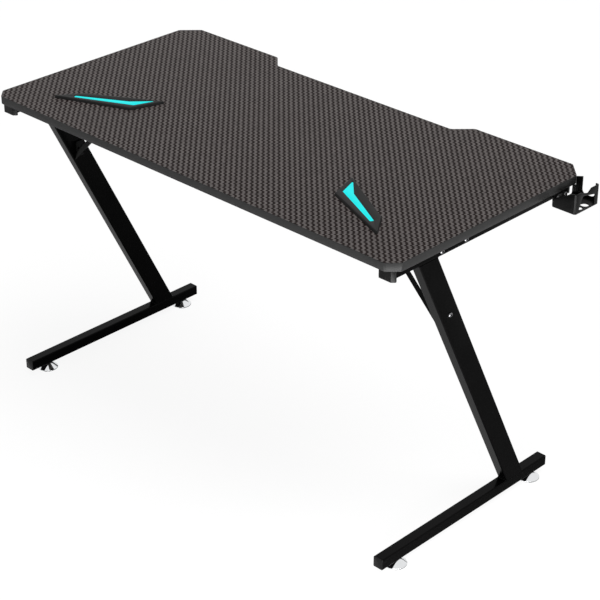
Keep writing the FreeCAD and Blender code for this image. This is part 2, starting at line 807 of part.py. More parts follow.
def cup_outline(margin):
    """Plan of the cup holder with cut corners, drawn in by a margin."""
    low_x = cup_inner_x
    high_x = cup_outer_x
    front = cup_front_corner
    rear = cup_rear_corner
    corners = [(low_x + cup_corner, cup_front_y, 0), (high_x - front, cup_front_y, 0),
               (high_x, cup_front_y + front, 0), (high_x, cup_rear_y - rear, 0),
               (high_x - rear, cup_rear_y, 0), (low_x + cup_corner, cup_rear_y, 0),
               (low_x, cup_rear_y - cup_corner, 0), (low_x, cup_front_y + cup_corner, 0)]
    return inset(corners, margin)


def across_x(outline, x_low, x_high):
    """Solid of an outline drawn in Y and Z, between two places along X."""
    solid = slab(outline, 0, x_high - x_low)
    turn = FreeCAD.Rotation(Y_AXIS, Z_AXIS, X_AXIS, "XYZ")
    solid.Placement = FreeCAD.Placement(X_AXIS * x_low, turn)
    return solid


def across_y(outline, y_low, y_high):
    """Solid of an outline drawn in X and Z, between two places along Y."""
    solid = slab(outline, 0, y_high - y_low)
    turn = FreeCAD.Rotation(X_AXIS, Z_AXIS, -Y_AXIS, "XYZ")
    solid.Placement = FreeCAD.Placement(Y_AXIS * y_high, turn)
    return solid


def cup_rim_cutters():
    """What is cut away above the cup holder's rim."""
    above = cup_top + past
    rim = desk_height + cup_rim_rise
    inner_top = board_bottom - cup_desk_gap
    under_desk = slab(inset(desktop_outline(), -cup_edge_gap), inner_top, above)
    inner = cup_inner_x - past
    front = cup_front_y - past
    slope_end = cup_outer_x - cup_front_corner
    slope = [(inner, inner_top - cup_slope_start, 0), (slope_end, rim, 0), (slope_end, above, 0),
             (inner, above, 0)]
    front_slope = across_y(slope, front, cup_front_y + cup_wall + cup_corner)
    dip_start = cup_front_y + cup_dip_start
    dip_low = dip_start + cup_dip_width
    horn = cup_rear_y - cup_horn_length
    scoop = [(front, rim, 0), (dip_start, rim, 0), (dip_low, rim - cup_dip_depth, cup_dip_round),
             (horn, above, 0), (front, above, 0)]
    scoop = across_x(scoop, inner, cup_outer_x + past)
    post_end = cup_inner_x + cup_slot_start + past
    post_top = [(inner, desk_height - cup_post_drop, 0), (post_end, desk_height + cup_post_rise, 0),
                (post_end, above, 0), (inner, above, 0)]
    post_top = across_y(post_top, front, cup_rear_y + past)
    low = desk_height - cup_horn_drop
    horn_top = block(post_end, cup_outer_x + past, front, cup_rear_y + past, low, above)
    return [under_desk, front_slope, scoop, post_top, horn_top]


def cup_openings():
    """The window in the cup holder's outer wall, the handle slot, the rear notch and the drain holes."""
    deck = cup_bottom + cup_floor
    head = desk_height + cup_rim_rise - cup_dip_depth - cup_window_band
    window_front = cup_front_y + cup_window_front
    window_rear = cup_rear_y - cup_window_rear
    window = [(window_front, deck, 0), (window_rear, deck, 0),
              (window_rear, head - cup_window_fall, cup_window_round),
              (window_front + cup_window_lean, head, cup_window_round)]
    window = across_x(window, cup_outer_x - cup_wall - past, cup_outer_x + past)
    slot_low = cup_inner_x + cup_slot_start
    slot_high = slot_low + cup_slot_width
    slot_foot = cup_bottom + cup_slot_foot
    over = cup_top + past
    slot = [(slot_low, slot_foot, cup_slot_round), (slot_high, slot_foot, cup_slot_round),
            (slot_high, over, 0), (slot_low, over, 0)]
    slot = across_y(slot, cup_rear_y - cup_corner - cup_wall, cup_rear_y + past)
    notch_high = cup_rear_y - cup_notch_end
    notch_low = notch_high - cup_notch_length
    notch_foot = cup_bottom + cup_notch_foot
    notch = [(notch_low, notch_foot, cup_notch_round), (notch_high, notch_foot, cup_notch_round),
             (notch_high, over, 0), (notch_low, over, 0)]
    notch = across_x(notch, cup_inner_x - past, cup_inner_x + cup_wall + past)
    centre = FreeCAD.Vector((cup_inner_x + cup_outer_x) / 2, cup_y, cup_bottom - past)
    drains = []
    for side in (-1, 1):
        for end in (-1, 1):
            step = FreeCAD.Vector(side * cup_drain_spacing_x / 2, end * cup_drain_spacing_y / 2, 0)
            drains.append(rod(cup_drain_radius, centre + step, Z_AXIS, cup_floor + 2 * past))
    return [window, slot, notch] + drains


def build_cup_holder():
    """The basket at the right edge and its screws."""
    outside = slab(cup_outline(0.0), cup_bottom, cup_top)
    inside = slab(cup_outline(cup_wall), cup_bottom + cup_floor, cup_top + past)
    basket = outside.cut(inside).cut(cup_rim_cutters() + cup_openings())
    for point in cup_screw_points():
        basket = basket.fuse(rod(cup_boss_radius, point, X_AXIS, cup_rail_gap + cup_wall / 2))
    for point in cup_screw_points():
        hole = rod(cup_screw_radius + hole_clearance, point - X_AXIS * past, X_AXIS,
                   cup_rail_gap + cup_wall + 2 * past)
        basket = basket.cut(hole)
    save("cup_holder", basket)

    screws = []
    for point in cup_screw_points():
        seat = point + X_AXIS * (cup_rail_gap + cup_wall)
        head = rod(cup_screw_head_radius, seat, X_AXIS, cup_screw_head_height)
        length = cup_rail_gap + cup_wall + tube_wall + cup_screw_bite
        screws.append(head.fuse(rod(cup_screw_radius, seat, -X_AXIS, length)))
    save("cup_holder_screws", Part.makeCompound(screws))


os.makedirs("parts", exist_ok=True)
build_desktop()
build_light_inserts()
build_rails()
build_legs()
build_caps()
build_stretcher()
build_frame_bolts()
build_braces()
build_desktop_screws()
build_feet()
build_cup_holder()
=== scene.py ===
import functools
import json
import math

import bmesh
import bpy
from mathutils import Matrix, Vector


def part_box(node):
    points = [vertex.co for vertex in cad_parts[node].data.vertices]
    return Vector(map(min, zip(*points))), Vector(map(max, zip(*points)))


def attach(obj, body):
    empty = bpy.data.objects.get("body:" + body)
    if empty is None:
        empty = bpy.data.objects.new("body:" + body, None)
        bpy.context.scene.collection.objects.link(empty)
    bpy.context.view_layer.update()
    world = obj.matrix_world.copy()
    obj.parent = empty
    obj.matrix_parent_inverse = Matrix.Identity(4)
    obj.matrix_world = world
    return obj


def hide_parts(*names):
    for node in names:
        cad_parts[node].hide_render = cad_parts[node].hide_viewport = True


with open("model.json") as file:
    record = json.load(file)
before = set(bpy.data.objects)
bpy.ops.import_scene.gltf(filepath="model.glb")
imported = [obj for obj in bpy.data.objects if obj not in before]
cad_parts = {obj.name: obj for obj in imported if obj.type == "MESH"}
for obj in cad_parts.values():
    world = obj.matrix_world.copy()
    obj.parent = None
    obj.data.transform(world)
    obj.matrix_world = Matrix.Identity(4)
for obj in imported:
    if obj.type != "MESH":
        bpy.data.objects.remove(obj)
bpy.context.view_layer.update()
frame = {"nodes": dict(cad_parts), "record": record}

bl_info = {
    "name": "Gaming desk dressing",
    "version": (1, 0, 0),
    "blender": (4, 5, 0),
    "location": "View3D > Sidebar > Desk",
    "description": "Finishes, hardware, welds and a studio for a gaming desk with light inserts",
    "category": "Object",
}

NODES = frame["nodes"]
BODY_OF = {node: body for body, members in frame["record"]["behaviour"]["bodies"].items()
           for node in members}
SLOT_OF = {part["node"]: part["material_slot"] for part in frame["record"]["subparts"]}
SIDES = ("left", "right")
ENDS = ("front", "rear")
FEET = [end + "_" + side for end in ENDS for side in SIDES]
UP = Vector((0, 0, 1))
RIGHT = Vector((1, 0, 0))
X, Y, Z = range(3)

# Meshes: corners this near are one, faces this near to flat are one, edges this sharp stay hard
MERGE_DISTANCE = 0.000002
FLAT_ANGLE = math.radians(0.4)
SHARP_ANGLE = math.radians(30)
ROUND_STEPS = 48

# Weave, in tows: one repeat, what each tow passes over, and the repeat of the jogs
WEAVE_REPEAT = 4
WEAVE_FLOAT = 2
JOG_REPEAT = 3

# Fasteners
HEAD_PER_SHANK = 1.75
WOOD_SHANK_PER_HEAD = 0.46
CUP_SHANK_PER_HEAD = 0.5
THREAD_GAP = 0.00005
STUD_LEAD_IN = 0.0005
STUD_CHAMFER = 0.0008
RIPPLE_OVERLAP = 2.4

# Levelling feet: heights are above the underside of the pad or the cone
AXIS_RADIUS = 0.0001
PAD_HEIGHT = 0.003
PAD_GAP = 0.0003
PAD_GROOVE = 0.0005
PAD_GROOVES = 4
CONE_RECESS_HEIGHT = 0.0031
CONE_LIP = 0.0006
CONE_SHOULDER = 0.002
CONE_SHOULDER_TURN = 50
CONE_NECK = 0.008
CONE_NECK_FLARE = 0.0012
CONE_NECK_DROP = 0.0007

# Studio: the flags are grey cards that lie on the floor
SENSOR_WIDTH = 36.0
SUN_SPREAD = math.radians(40)
FLOOR_REACH = 40.0
FLAG_LIFT = 0.001
FLAGS = {
    "studio_flag_right": ((0.556, -0.30), (0.66, -0.30), (0.85, 0.20), (1.42, 0.52), (1.72, 0.75),
                          (1.65, 1.15), (1.25, 1.10), (1.20, 0.72), (0.556, 0.42)),
    "studio_flag_left": ((-0.583, -0.30), (-0.47, -0.30), (0.10, 0.28), (0.68, 0.60), (0.60, 0.86),
                         (-0.583, 0.40)),
    "studio_flag_front": ((-0.75, -1.20), (0.15, -1.20), (0.15, -0.75), (-0.75, -0.75)),
}


# Sizes and colours that a user would change

def length_setting(name, words, value):
    """A size in metres, shown in the sidebar."""
    return bpy.props.FloatProperty(name=name, description=words, default=value, min=0.0,
                                   subtype="DISTANCE", unit="LENGTH", precision=5)


def colour_setting(name, words, value):
    """A linear colour, shown in the sidebar."""
    return bpy.props.FloatVectorProperty(name=name, description=words, default=value, size=3,
                                         min=0.0, max=1.0, subtype="COLOR")


def amount_setting(name, words, value):
    """A plain number, shown in the sidebar."""
    return bpy.props.FloatProperty(name=name, description=words, default=value, min=0.0)


class DeskFinishes(bpy.types.PropertyGroup):
    """Colours of the desk's surfaces."""

    weave_light: colour_setting("Weave, light", "Tows that run from front to rear",
                                (0.118, 0.1055, 0.103))
    weave_dark: colour_setting("Weave, dark", "Tows that run along the desk",
                               (0.0052, 0.0013, 0.0009))
    band: colour_setting("Edge band", "Plastic band round the desktop", (0.020, 0.020, 0.020))
    coat: colour_setting("Powder coat", "Paint on the steel", (0.0007, 0.0007, 0.0007))
    plastic: colour_setting("Black plastic", "Caps, trays and inlets", (0.003, 0.003, 0.003))
    bezel: colour_setting("Bezel", "Raised frames of the light inserts", (0.017, 0.017, 0.017))
    cup: colour_setting("Cup holder", "Plastic of the cup holder", (0.002, 0.002, 0.002))
    glow: colour_setting("Light", "Lit lens of the inserts", (0.004, 0.875, 0.885))
    chrome: colour_setting("Chrome", "Plating of the feet", (0.80, 0.81, 0.82))
    zinc: colour_setting("Zinc", "Plating of screws, nuts and studs", (0.60, 0.61, 0.62))
    bolt: colour_setting("Bolts", "Blackened steel of bolts and cup holder screws", (0.20, 0.20, 0.205))
    rubber: colour_setting("Rubber", "Pads under the feet", (0.018, 0.018, 0.018))
    backing: colour_setting("Backing paper", "Underside of the board", (0.022, 0.020, 0.018))
    chipboard: colour_setting("Chipboard", "Core of the board", (0.42, 0.30, 0.18))
    mask: colour_setting("Solder mask", "Circuits in the light inserts", (0.72, 0.73, 0.70))
    track: colour_setting("Tracks", "Tracks under the solder mask", (0.58, 0.60, 0.56))
    phosphor_deep: colour_setting("Phosphor, deep", "Dense grain of light chips", (0.85, 0.72, 0.22))
    phosphor_pale: colour_setting("Phosphor, pale", "Thin grain of light chips", (0.95, 0.86, 0.40))


class DeskDetails(bpy.types.PropertyGroup):
    """Sizes of the small details."""

    warp_width: length_setting("Warp width", "Width of a tow that runs from front to rear", 0.0038695)
    weft_width: length_setting("Weft width", "Width of a tow that runs along the desk", 0.0038858)
    weave_start: length_setting("Weave start", "Where the first tow begins along the desk", 0.00794)
    weave_relief: length_setting("Weave relief", "Height of the embossed weave", 0.00012)
    plastic_edge: length_setting("Plastic edge", "Edge radius of moulded pieces", 0.0007)
    band_edge: length_setting("Band edge", "Edge radius of the edge band and the lenses", 0.0004)
    plate_edge: length_setting("Plate edge", "Edge radius of cut steel plates", 0.0003)
    bolt_head: length_setting("Bolt head", "Height of a button head", 0.0036)
    screw_head: length_setting("Screw head", "Height of a wood screw's head", 0.0026)
    cup_screw_head: length_setting("Cup screw head", "Height of a cup holder screw's head", 0.0024)
    hex_key: length_setting("Hex key", "Width across flats of the bolts' sockets", 0.005)
    bolt_pitch: length_setting("Bolt pitch", "Thread pitch of the bolts", 0.001)
    stud_pitch: length_setting("Stud pitch", "Thread pitch of the levelling studs", 0.00125)
    thread_depth: length_setting("Thread depth", "Depth of the threads", 0.0006)
    weld_width: length_setting("Weld width", "Width of a weld bead", 0.005)
    weld_height: length_setting("Weld height", "Height of a weld bead", 0.003)
    weld_step: length_setting("Weld step", "Spacing of the ripples in a weld bead", 0.0016)


class DeskStudio(bpy.types.PropertyGroup):
    """Camera and lights."""

    camera_place: bpy.props.FloatVectorProperty(
        name="Camera place", description="Where the camera stands", default=(2.5696, -2.5994, 2.3335),
        size=3, subtype="XYZ", unit="LENGTH")
    camera_azimuth: amount_setting("Azimuth", "Degrees round the desk from the front", 44.25)
    camera_elevation: amount_setting("Elevation", "Degrees above the floor", 28.81)
    lens: amount_setting("Lens", "Focal length in millimetres on a 36 mm sensor", 111.43)
    key: amount_setting("Key light", "Strength of the overhead light", 2.4)
    fill: amount_setting("Fill light", "Strength of the light in front of the desk", 0.5)
    strip: amount_setting("Strip light", "Brightness of the low strip in front of the desk", 12.0)
    panel: amount_setting("Panel light", "Brightness of the low panel off the front corner", 5.0)
    ambient: amount_setting("Ambient", "Strength of the light from all around", 0.32)
    floor: colour_setting("Floor", "Paint of the studio floor", (0.98, 0.98, 0.98))
    floor_glow: amount_setting("Floor glow", "Share of plain white in the floor as it is seen", 0.90)
    flag: colour_setting("Flags", "Grey cards that only reflections show", (0.26, 0.26, 0.26))


def finishes():
    return bpy.context.scene.desk_finishes


def details():
    return bpy.context.scene.desk_details


def studio():
    return bpy.context.scene.desk_studio


# Nodes

class Wire:
    """A node's output that takes part in Python sums: every operator adds a Math node."""

    def __init__(self, maker, socket):
        self.maker = maker
        self.socket = socket

    def math(self, operation, *values):
        return self.maker.add("ShaderNodeMath", {"operation": operation}, dict(enumerate(values)))

    def __add__(self, other):
        return self.math("ADD", self, other)

    def __radd__(self, other):
        return self.math("ADD", other, self)

    def __sub__(self, other):
        return self.math("SUBTRACT", self, other)

    def __rsub__(self, other):
        return self.math("SUBTRACT", other, self)

    def __mul__(self, other):
        return self.math("MULTIPLY", self, other)

    def __rmul__(self, other):
        return self.math("MULTIPLY", other, self)

    def __truediv__(self, other):
        return self.math("DIVIDE", self, other)

    def __mod__(self, other):
        return self.math("FLOORED_MODULO", self, other)

    def __pow__(self, other):
        return self.math("POWER", self, other)

    def __lt__(self, other):
        return self.math("LESS_THAN", self, other)

    def __gt__(self, other):
        return self.math("GREATER_THAN", self, other)

    def __abs__(self):
        return self.math("ABSOLUTE", self)

    def floor(self):
        return self.math("FLOOR", self)

    def sine(self):
        return self.math("SINE", self)

    def at_most(self, other):
        return self.math("MINIMUM", self, other)

    def at_least(self, other):
        return self.math("MAXIMUM", self, other)


def find_socket(sockets, key):
    """A node's socket by its number, identifier or name."""
    if isinstance(key, int):
        return sockets[key]
    for socket in sockets:
        if socket.identifier == key:
            return socket
    return sockets[key]


class NodeMaker:
    """Adds nodes to a tree."""

    def __init__(self, tree):
        self.tree = tree

    def join(self, socket, value):
        """Link a wire to a socket, or set the socket's own value."""
        if isinstance(value, Wire):
            self.tree.links.new(value.socket, socket)
        else:
            socket.default_value = value

    def add(self, kind, settings=None, sockets=None, output=0):
        """A node of a type with its settings, then its sockets' values or links; gives one output."""
        node = self.tree.nodes.new(kind)
        for name, value in (settings or {}).items():
            setattr(node, name, value)
        for key, value in (sockets or {}).items():
            self.join(find_socket(node.inputs, key), value)
        return Wire(self, find_socket(node.outputs, output))


class Finish(NodeMaker):
    """One procedural material: constants sit on the shader, and what varies is linked to it."""

    def __init__(self, name, constants):
        self.material = bpy.data.materials.new(name)
        self.material.use_nodes = True
        super().__init__(self.material.node_tree)
        self.tree.nodes.clear()
        self.shader = self.tree.nodes.new("ShaderNodeBsdfPrincipled")
        surface = self.tree.nodes.new("ShaderNodeOutputMaterial")
        self.tree.links.new(self.shader.outputs[0], surface.inputs["Surface"])
        for socket, value in constants.items():
            self.set(socket, value)

    def set(self, socket, value):
        """Set or link one socket of the shader."""
        self.join(self.shader.inputs[socket], value)

    def place(self):
        """Object coordinates, in metres."""
        return self.add("ShaderNodeTexCoord", output="Object")

    def axis(self, name):
        """One of the object coordinates X, Y and Z, in metres."""
        return self.add("ShaderNodeSeparateXYZ", {}, {0: self.place()}, name)

    def facing_up(self):
        """How far the surface faces up, from -1 to 1."""
        normal = self.add("ShaderNodeNewGeometry", output="True Normal")
        return self.add("ShaderNodeSeparateXYZ", {}, {0: normal}, "Z")

    def noise(self, grain, detail=2.0, stretch=(1.0, 1.0, 1.0)):
        """Soft noise from 0 to 1, whose blotches are about a grain across, in metres."""
        mapped = self.add("ShaderNodeMapping", {}, {"Vector": self.place(), "Scale": stretch})
        sockets = {"Vector": mapped, "Scale": 1 / grain, "Detail": detail}
        return self.add("ShaderNodeTexNoise", {}, sockets)

    def cells(self, grain):
        """Random value from 0 to 1 in each cell about a grain across, in metres."""
        sockets = {"Vector": self.place(), "Scale": 1 / grain}
        spots = self.add("ShaderNodeTexVoronoi", {}, sockets, "Color")
        return self.add("ShaderNodeSeparateColor", {}, {0: spots})

    def blend(self, share, low, high):
        """Colour between two, by a share from 0 to 1."""
        low = low if isinstance(low, Wire) else (*low, 1.0)
        high = high if isinstance(high, Wire) else (*high, 1.0)
        sockets = {"Factor_Float": share, "A_Color": low, "B_Color": high}
        return self.add("ShaderNodeMix", {"data_type": "RGBA"}, sockets, "Result_Color")

    def relief(self, height, depth):
        """Bump the surface by a height from 0 to 1, over a depth in metres."""
        sockets = {"Height": height, "Distance": depth, "Strength": 1.0}
        self.set("Normal", self.add("ShaderNodeBump", {}, sockets))


def tint(colour, factor):
    """A colour made lighter or darker."""
    return tuple(channel * factor for channel in colour)


# Finishes

def twill_laminate():
    """Printed and embossed twill: over two and under two, a step along in each row, with jogs."""
    finish = Finish("carbon_twill", {"Specular IOR Level": 0.03})
    size = details()
    across = (finish.axis("X") - size.weave_start) / size.warp_width
    along = finish.axis("Y") / size.weft_width
    column = across.floor()
    row = along.floor()
    column_share = across - column
    row_share = along - row
    jog = ((row - column) / WEAVE_FLOAT).floor() % JOG_REPEAT < 1
    step = (column + row + jog) % WEAVE_REPEAT
    warp = step < WEAVE_FLOAT
    weft = 1 - warp
    run = warp * (step + row_share) + weft * (step - WEAVE_FLOAT + column_share)
    side = warp * column_share + weft * row_share
    crown = 1 - abs(side * 2 - 1) ** 2.5
    arch = (run * (math.pi / WEAVE_FLOAT)).sine()
    fibres = (side * 40 + finish.noise(0.03) * 6).sine() * 0.5 + 0.5
    patches = finish.cells(0.007)
    swell = (0.55 + 0.45 * crown) * (0.80 + 0.20 * arch)
    shade = (swell * (0.9 + 0.2 * fibres) * (0.7 + 0.6 * patches)).at_most(1)
    light = finish.blend(shade, tint(finishes().weave_light, 0.35), finishes().weave_light)
    dark = finish.blend(shade, tint(finishes().weave_dark, 0.4), finishes().weave_dark)
    woven = finish.blend(warp, dark, light)
    haze = finish.noise(0.16, 3.0)
    finish.set("Base Color", finish.blend(haze * 0.06, woven, tint(finishes().weave_light, 0.5)))
    finish.set("Roughness", 0.42 + 0.1 * haze - 0.06 * crown)
    finish.relief(crown * 0.45 + arch * 0.55, size.weave_relief)
    return finish.material


def edge_band_plastic():
    """Satin extruded plastic, with faint lines along it from the extruder."""
    finish = Finish("edge_band_satin", {"Specular IOR Level": 0.09})
    lines = finish.noise(0.004, 2.0, (0.02, 0.02, 1.6))
    mottle = finish.noise(0.03, 3.0)
    colour = finishes().band
    finish.set("Base Color", finish.blend(mottle, tint(colour, 0.9), tint(colour, 1.1)))
    finish.set("Roughness", 0.3 + 0.1 * mottle)
    finish.relief(lines, 0.00006)
    return finish.material


def board_core():
    """Chipboard, with a dark paper on its underside."""
    finish = Finish("chipboard", {"Specular IOR Level": 0.2})
    flakes = finish.cells(0.0035)
    fines = finish.noise(0.0012, 4.0)
    chips = finish.blend(flakes, tint(finishes().chipboard, 0.62), tint(finishes().chipboard, 1.2))
    fibres = finish.noise(0.006, 4.0, (0.3, 1.0, 1.0))
    paper = finish.blend(fibres, tint(finishes().backing, 0.8), tint(finishes().backing, 1.3))
    underside = finish.facing_up() < -0.5
    finish.set("Base Color", finish.blend(underside, chips, paper))
    finish.set("Roughness", 0.75 - 0.2 * underside + 0.1 * fines)
    finish.relief(fines * (1 - underside) + fibres * underside * 0.2, 0.0003)
    return finish.material


def powder_coat():
    """Satin black powder coat with the fine ripple of baked powder."""
    finish = Finish("powder_coat_black", {"Specular IOR Level": 0.043})
    ripple = finish.noise(0.0022, 3.0)
    specks = finish.noise(0.0005, 2.0)
    wear = finish.noise(0.05, 4.0)
    colour = finishes().coat
    finish.set("Base Color", finish.blend(wear, tint(colour, 0.8), tint(colour, 1.25)))
    finish.set("Roughness", 0.17 + 0.08 * wear + 0.03 * specks)
    finish.relief(ripple * 0.7 + specks * 0.3, 0.00002)
    return finish.material


def black_plastic(name, colour, grain, depth, sheen, roughness):
    """Moulded black plastic with a spark-textured skin."""
    finish = Finish(name, {"Specular IOR Level": sheen})
    skin = finish.noise(grain, 3.0)
    flow = finish.noise(0.02, 3.0, (1.0, 0.4, 1.0))
    finish.set("Base Color", finish.blend(flow, tint(colour, 0.8), tint(colour, 1.2)))
    finish.set("Roughness", roughness + 0.14 * flow + 0.08 * skin)
    finish.relief(skin, depth)
    return finish.material


def lit_lens():
    """Milky lens, lit from behind in soft pools."""
    glow = finishes().glow
    finish = Finish("lit_lens", {"Roughness": 0.3, "Specular IOR Level": 0.05,
                                 "Emission Strength": 0.92})
    pools = finish.noise(0.03, 1.0)
    finish.set("Base Color", finish.blend(pools, tint(glow, 0.06), tint(glow, 0.1)))
    finish.set("Emission Color", finish.blend(pools, tint(glow, 0.86), glow))
    finish.relief(finish.noise(0.0006, 2.0), 0.00002)
    return finish.material


def plated_metal(name, colour, roughness, grain, spread):
    """Plated metal with a faint cloud in its polish."""
    finish = Finish(name, {"Metallic": 1.0})
    cloud = finish.noise(grain, 4.0)
    finish.set("Base Color", finish.blend(cloud, tint(colour, 0.9), colour))
    finish.set("Roughness", roughness + spread * cloud)
    finish.relief(finish.noise(grain * 0.2, 2.0), 0.00001)
    return finish.material


def pad_rubber():
    """Moulded rubber with dust in its grain."""
    finish = Finish("pad_rubber", {"Specular IOR Level": 0.3})
    grain = finish.noise(0.0008, 3.0)
    dust = finish.noise(0.012, 4.0)
    colour = finishes().rubber
    finish.set("Base Color", finish.blend(dust, tint(colour, 0.8), tint(colour, 1.8)))
    finish.set("Roughness", 0.72 + 0.2 * dust)
    finish.relief(grain, 0.00008)
    return finish.material


def circuit_mask():
    """White solder mask, with faint tracks that slant across the board."""
    finish = Finish("circuit_mask", {"Specular IOR Level": 0.45})
    track = ((finish.axis("X") + finish.axis("Y")) * 900).sine() > 0.82
    finish.set("Base Color", finish.blend(track, finishes().mask, finishes().track))
    finish.set("Roughness", 0.35 + 0.15 * finish.noise(0.006))
    finish.relief(track, 0.00004)
    return finish.material


def light_chip():
    """Phosphor-filled package of a light chip."""
    finish = Finish("light_chip", {"Roughness": 0.3})
    grain = finish.noise(0.0008, 2.0)
    finish.set("Base Color", finish.blend(grain, finishes().phosphor_deep, finishes().phosphor_pale))
    finish.relief(grain, 0.00003)
    return finish.material


@functools.cache
def all_finishes():
    """Every finish of the desk, under the name of the record's slot."""
    colours = finishes()
    return {
        "carbon_laminate": twill_laminate(),
        "edge_band": edge_band_plastic(),
        "board_core": board_core(),
        "black_powder_coat": powder_coat(),
        "bezel_plastic": black_plastic("bezel_plastic", colours.bezel, grain=0.0006, depth=0.00004,
                                       sheen=0.06, roughness=0.36),
        "inner_plastic": black_plastic("inner_plastic", colours.plastic, grain=0.0010, depth=0.00005,
                                       sheen=0.06, roughness=0.36),
        "cap_plastic": black_plastic("cap_plastic", colours.plastic, grain=0.0008, depth=0.00002,
                                     sheen=0.10, roughness=0.18),
        "cup_plastic": black_plastic("cup_plastic", colours.cup, grain=0.0007, depth=0.00002,
                                     sheen=0.10, roughness=0.22),
        "cyan_diffuser": lit_lens(),
        "circuit_board": circuit_mask(),
        "light_chip": light_chip(),
        "chrome_plate": plated_metal("chrome_plate", colours.chrome, roughness=0.06, grain=0.02,
                                     spread=0.06),
        "zinc_steel": plated_metal("zinc_steel", colours.zinc, roughness=0.26, grain=0.004,
                                   spread=0.16),
        "black_bolt_steel": plated_metal("black_bolt_steel", colours.bolt, roughness=0.28,
                                         grain=0.004, spread=0.12),
        "pad_rubber": pad_rubber(),
    }


def finish_for(slot):
    """The material of a slot."""
    return all_finishes()[slot]


# Meshes

def dress(*nodes):
    """Give CAD nodes the finish of their slot."""
    for node in nodes:
        materials = NODES[node].data.materials
        materials.clear()
        materials.append(finish_for(SLOT_OF[node]))


def add_object(name, mesh):
    """A new object at the origin."""
    piece = bpy.data.objects.new(name, mesh)
    bpy.context.scene.collection.objects.link(piece)
    return piece


def mesh_from(shape, name):
    """Turn a bmesh into a mesh that is shaded smooth."""
    for face in shape.faces:
        face.smooth = True
    mesh = bpy.data.meshes.new(name)
    shape.to_mesh(mesh)
    shape.free()
    return mesh


def crisp_mesh(shape, name):
    """Turn a bmesh into a smooth mesh whose hard edges stay hard."""
    mesh = mesh_from(shape, name)
    mesh.set_sharp_from_angle(angle=SHARP_ANGLE)
    return mesh


def settle(piece):
    """Turn a piece's modifiers into a plain mesh."""
    graph = bpy.context.evaluated_depsgraph_get()
    mesh = bpy.data.meshes.new_from_object(piece.evaluated_get(graph), depsgraph=graph)
    piece.modifiers.clear()
    piece.data = mesh


def stand_for(piece, node):
    """Let a finished piece ride with the CAD node that it replaces, in its finish."""
    slot = SLOT_OF[node]
    piece.data.materials.clear()
    piece.data.materials.append(finish_for(slot))
    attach(piece, BODY_OF[node])
    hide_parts(node)


def merged_copy(node):
    """A CAD node's mesh with its loose triangles joined."""
    shape = bmesh.new()
    shape.from_mesh(NODES[node].data)
    bmesh.ops.remove_doubles(shape, verts=shape.verts, dist=MERGE_DISTANCE)
    return shape


def round_edges(node, radius):
    """Replace a CAD node by a copy with rounded edges."""
    shape = merged_copy(node)
    bmesh.ops.join_triangles(shape, faces=shape.faces, angle_face_threshold=FLAT_ANGLE,
                             angle_shape_threshold=math.pi)
    piece = add_object(node + "_rounded", mesh_from(shape, node + "_rounded"))
    bevel = piece.modifiers.new("edges", "BEVEL")
    bevel.width = radius
    bevel.segments = 3
    bevel.limit_method = "ANGLE"
    bevel.angle_limit = SHARP_ANGLE
    bevel.use_clamp_overlap = False
    bevel.loop_slide = False
    bevel.harden_normals = True
    settle(piece)
    stand_for(piece, node)


def solid_boxes(node):
    """Lowest and highest corner of each separate solid of a CAD node, in order along X, Y and Z."""
    shape = merged_copy(node)
    waiting = set(shape.verts)
    boxes = []
    while waiting:
        edge_of_island = [waiting.pop()]
        island = []
        while edge_of_island:
            vertex = edge_of_island.pop()
            island.append(vertex.co.copy())
            for edge in vertex.link_edges:
                other = edge.other_vert(vertex)
                if other in waiting:
                    waiting.remove(other)
                    edge_of_island.append(other)
        boxes.append((Vector(map(min, *island)), Vector(map(max, *island))))
    shape.free()
    return sorted(boxes, key=lambda box: tuple(box[0]))


def ring(radius_at, height, steps=ROUND_STEPS):
    """Points round Z at a height. The radius is a number or a function of the angle."""
    points = []
    for step in range(steps):
        angle = 2 * math.pi * step / steps
        radius = radius_at(angle) if callable(radius_at) else radius_at
        points.append(Vector((radius * math.cos(angle), radius * math.sin(angle), height)))
    return points


def loft(rings, closed=False):
    """Skin between rings of like counts. Open lofts get their two ends filled."""
    shape = bmesh.new()
    rows = [[shape.verts.new(point) for point in points] for points in rings]
    count = len(rows[0])
    pairs = list(zip(rows, rows[1:]))
    if closed:
        pairs.append((rows[-1], rows[0]))
    for low, high in pairs:
        for index in range(count):
            after = (index + 1) % count
            shape.faces.new((low[index], low[after], high[after], high[index]))
    if not closed:
        shape.faces.new(reversed(rows[0]))
        shape.faces.new(rows[-1])
    bmesh.ops.recalc_face_normals(shape, faces=shape.faces)
    return shape


def hexagon(width):
    """Radius of a hexagon at an angle, from its width across flats."""
    def radius_at(angle):
        sector = math.pi / 3
        return width / 2 / math.cos(angle % sector - sector / 2)
    return radius_at


def cross(reach, half_width):
    """Radius of a cross-shaped recess at an angle."""
    def radius_at(angle):
        quarter = math.pi / 2
        turn = (angle + quarter / 2) % quarter - quarter / 2
        along = reach / math.cos(turn)
        return min(along, half_width / max(abs(math.sin(turn)), 1e-6))
    return radius_at


def thread(radius, depth, pitch, low, high, steps_per_turn=6):
    """Rings of a screw thread between two heights, faded out at its ends."""
    count = round((high - low) / pitch * steps_per_turn)
    rings = []
    for step in range(count + 1):
        height = low + (high - low) * step / count
        fade = min(1.0, step / steps_per_turn, (count - step) / steps_per_turn)

        def radius_at(angle, height=height, fade=fade):
            phase = (height / pitch - angle / (2 * math.pi)) % 1.0
            return radius - depth * (1 - fade * (1 - abs(2 * phase - 1)))
        rings.append(ring(radius_at, height))
    return rings


